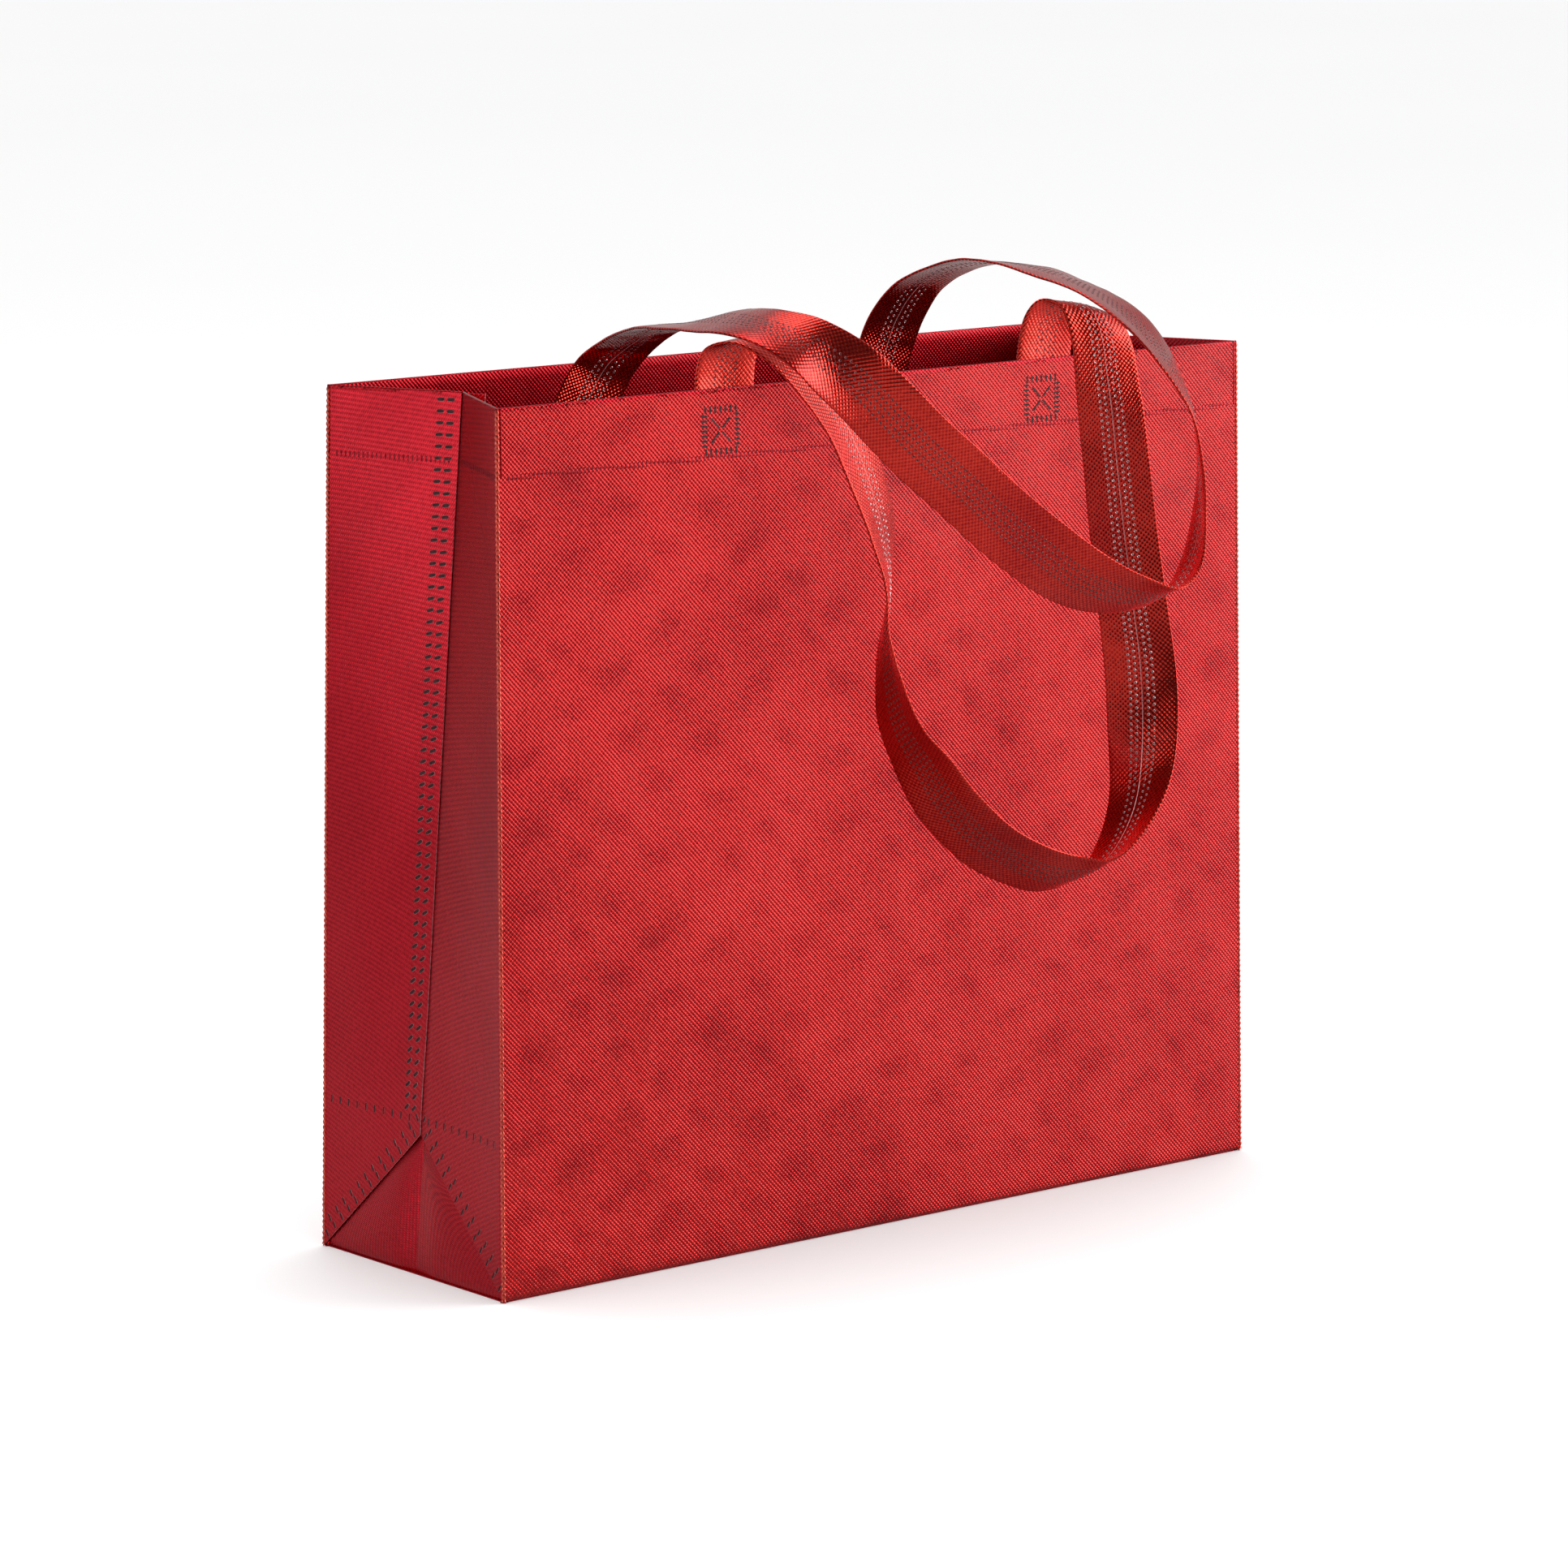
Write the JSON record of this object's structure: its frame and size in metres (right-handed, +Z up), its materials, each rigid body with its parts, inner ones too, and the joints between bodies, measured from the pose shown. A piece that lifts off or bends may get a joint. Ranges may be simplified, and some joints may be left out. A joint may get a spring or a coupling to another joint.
{
  "type": "gift bag",
  "caption": "Open-topped, upright gift bag of welded metallic sheet with tucked-in side gussets, a folded flat base, a hemmed rim and two long flat strap handles",
  "frame": {"origin": "centre of the base, on the plane that the bag stands on", "axes": "+X along the width, -Y out of the front panel, +Z up"},
  "size_m": [0.4, 0.1661, 0.3865],
  "materials": {
    "body_sheet": "metallised film laminated on non-woven sheet, with a fine embossed lattice",
    "inner_sheet": "the same sheet where it is folded inside or lapped, seen duller",
    "strap": "the same sheet folded to a flat strap, with rows of small welded dots",
    "weld_mark": "sheet melted to a dull grey in welded lines"
  },
  "bodies": {
    "bag": {"front_panel": "body_sheet", "back_panel": "body_sheet", "base_panel": "body_sheet", "left_base_end": "body_sheet", "right_base_end": "body_sheet", "left_gusset_front": "body_sheet", "left_gusset_back": "body_sheet", "right_gusset_front": "body_sheet", "right_gusset_back": "body_sheet", "left_seam_lap": "inner_sheet", "right_seam_lap": "inner_sheet", "front_hem": "inner_sheet", "back_hem": "inner_sheet", "left_hem_front": "inner_sheet", "left_hem_back": "inner_sheet", "right_hem_front": "inner_sheet", "right_hem_back": "inner_sheet", "front_left_tab": "strap", "front_right_tab": "strap", "back_left_tab": "strap", "back_right_tab": "strap", "front_left_weld": "weld_mark", "front_right_weld": "weld_mark", "back_left_weld": "weld_mark", "back_right_weld": "weld_mark", "front_left_fold": "strap", "front_right_fold": "strap", "back_left_fold": "strap", "back_right_fold": "strap"},
    "back_handle_arch": {"back_left_arch": "strap", "back_right_arch": "strap", "back_left_bend": "strap", "back_right_bend": "strap"},
    "back_handle_bow": {"back_handle": "strap"},
    "front_handle_loop": {"front_handle": "strap"}
  },
  "joints": [
    {"name": "back_handle_lift", "type": "hinge", "parent": "bag", "child": "back_handle_arch", "pos_m": [0.021, 0.05, 0.361], "axis": [-1, 0, 0], "range_deg": [0, 85], "deforming": ["back_left_fold", "back_right_fold"]},
    {"name": "back_handle_straighten", "type": "hinge", "parent": "back_handle_arch", "child": "back_handle_bow", "pos_m": [0.021, -0.069, 0.373], "axis": [-1, 0, 0], "range_deg": [0, 85], "deforming": ["back_left_bend", "back_right_bend"]},
    {"name": "front_handle_lift", "type": "hinge", "parent": "bag", "child": "front_handle_loop", "pos_m": [0.013, -0.061, 0.367], "axis": [-1, 0, 0], "range_deg": [0, 178.5], "deforming": ["front_left_fold", "front_right_fold"]}
  ],
  "couplings": [
    {"joint": "back_handle_straighten", "follows": "back_handle_lift", "ratio": 1},
    {"joint": "front_handle_lift", "follows": "back_handle_lift", "ratio": 2.1}
  ]
}
